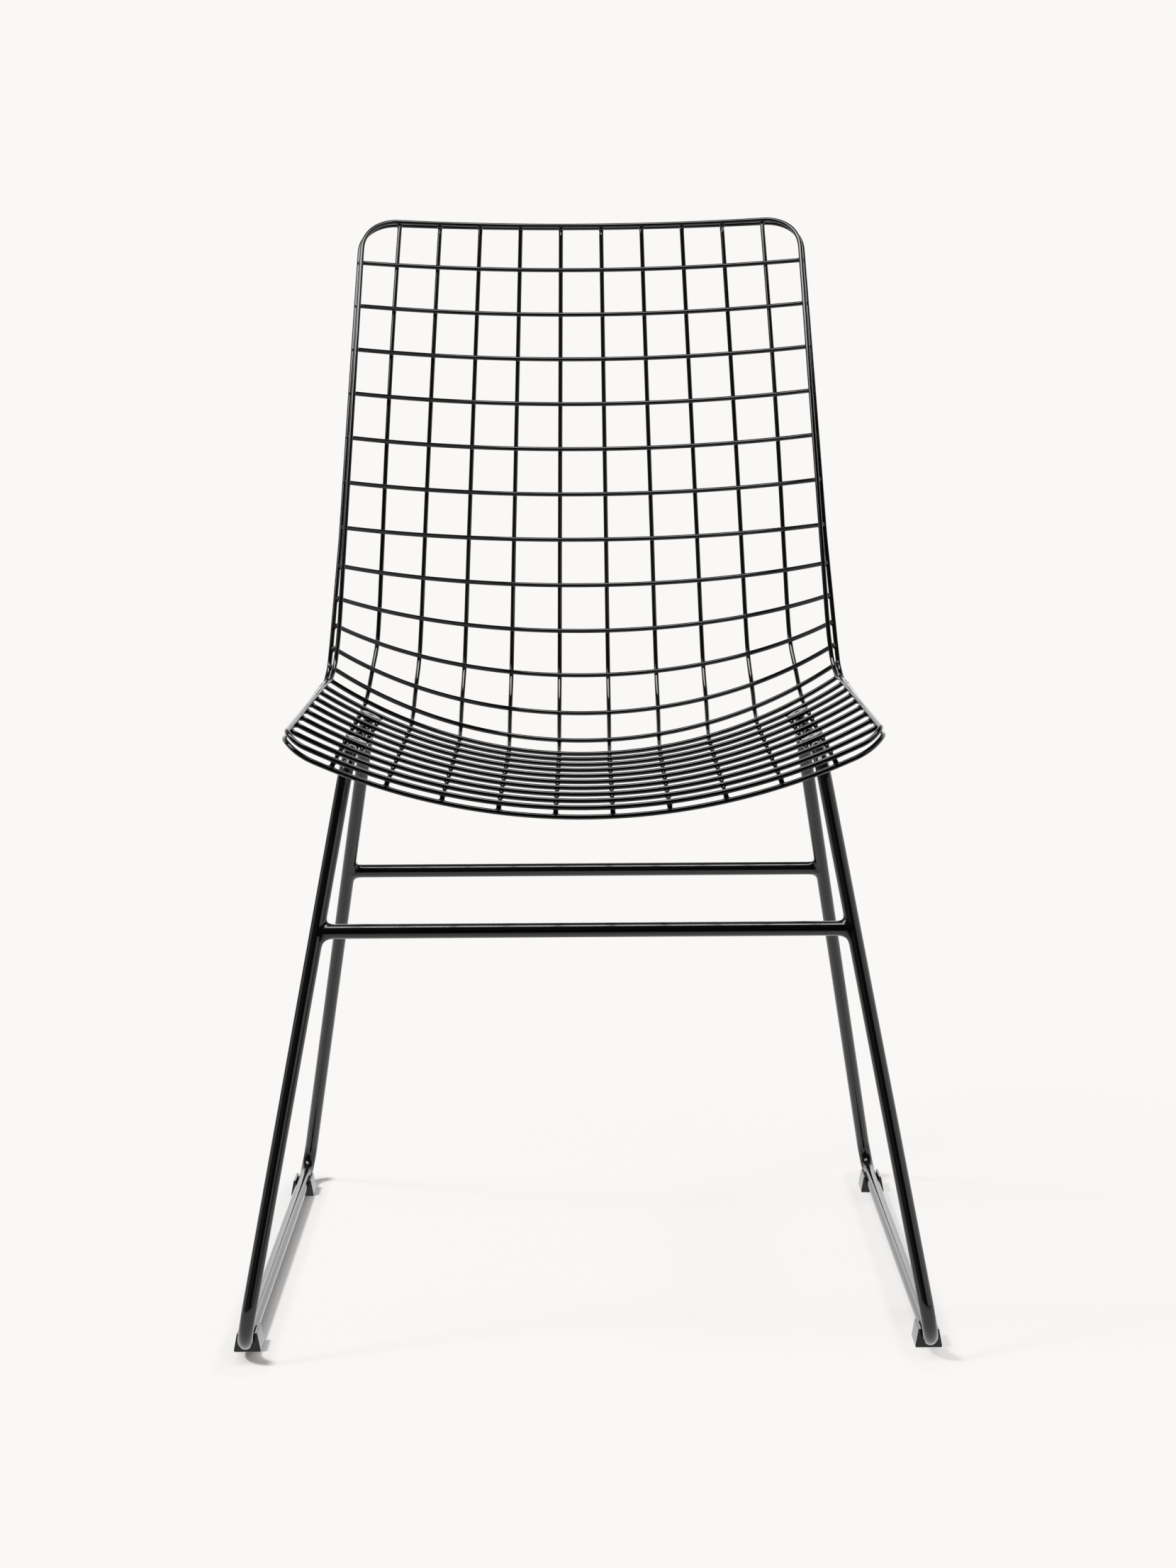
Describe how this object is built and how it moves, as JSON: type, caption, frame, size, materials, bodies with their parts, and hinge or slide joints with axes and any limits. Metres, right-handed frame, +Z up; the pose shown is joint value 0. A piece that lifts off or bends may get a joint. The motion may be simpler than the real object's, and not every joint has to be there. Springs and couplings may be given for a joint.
{
  "type": "wire mesh chair",
  "caption": "Dining chair: a dished welded wire mesh shell, its edges held between two rim wires, on two bent rod side frames joined by cross stretchers.",
  "frame": {"origin": "on the floor, under the middle of the chair's outer size", "axes": "+Z up, -Y towards the front of the seat, +X to the right of someone who faces the chair's front"},
  "size_m": [0.528, 0.5791, 0.8599],
  "materials": {
    "wire_coat": "gloss black powder coat on steel wire",
    "rod_coat": "gloss black powder coat on solid steel rod",
    "screw_coat": "black coated flat disc head screw",
    "glide_plastic": "satin charcoal moulded plastic"
  },
  "bodies": {
    "root": {"back_rim_wire": "wire_coat", "clamp_screws": "screw_coat", "cross_wire_01": "wire_coat", "cross_wire_02": "wire_coat", "cross_wire_03": "wire_coat", "cross_wire_04": "wire_coat", "cross_wire_05": "wire_coat", "cross_wire_06": "wire_coat", "cross_wire_07": "wire_coat", "cross_wire_08": "wire_coat", "cross_wire_09": "wire_coat", "cross_wire_10": "wire_coat", "cross_wire_11": "wire_coat", "cross_wire_12": "wire_coat", "cross_wire_13": "wire_coat", "cross_wire_14": "wire_coat", "cross_wire_15": "wire_coat", "cross_wire_16": "wire_coat", "cross_wire_17": "wire_coat", "cross_wire_18": "wire_coat", "cross_wire_19": "wire_coat", "cross_wire_20": "wire_coat", "cross_wire_21": "wire_coat", "front_left_glide": "glide_plastic", "front_right_glide": "glide_plastic", "front_rim_wire": "wire_coat", "front_stretcher": "rod_coat", "left_mount_wire": "wire_coat", "left_side_frame": "rod_coat", "long_wire_01": "wire_coat", "long_wire_02": "wire_coat", "long_wire_03": "wire_coat", "long_wire_04": "wire_coat", "long_wire_05": "wire_coat", "long_wire_06": "wire_coat", "long_wire_07": "wire_coat", "long_wire_08": "wire_coat", "long_wire_09": "wire_coat", "long_wire_10": "wire_coat", "rear_left_glide": "glide_plastic", "rear_right_glide": "glide_plastic", "rear_stretcher": "rod_coat", "right_mount_wire": "wire_coat", "right_side_frame": "rod_coat"}
  },
  "joints": []
}
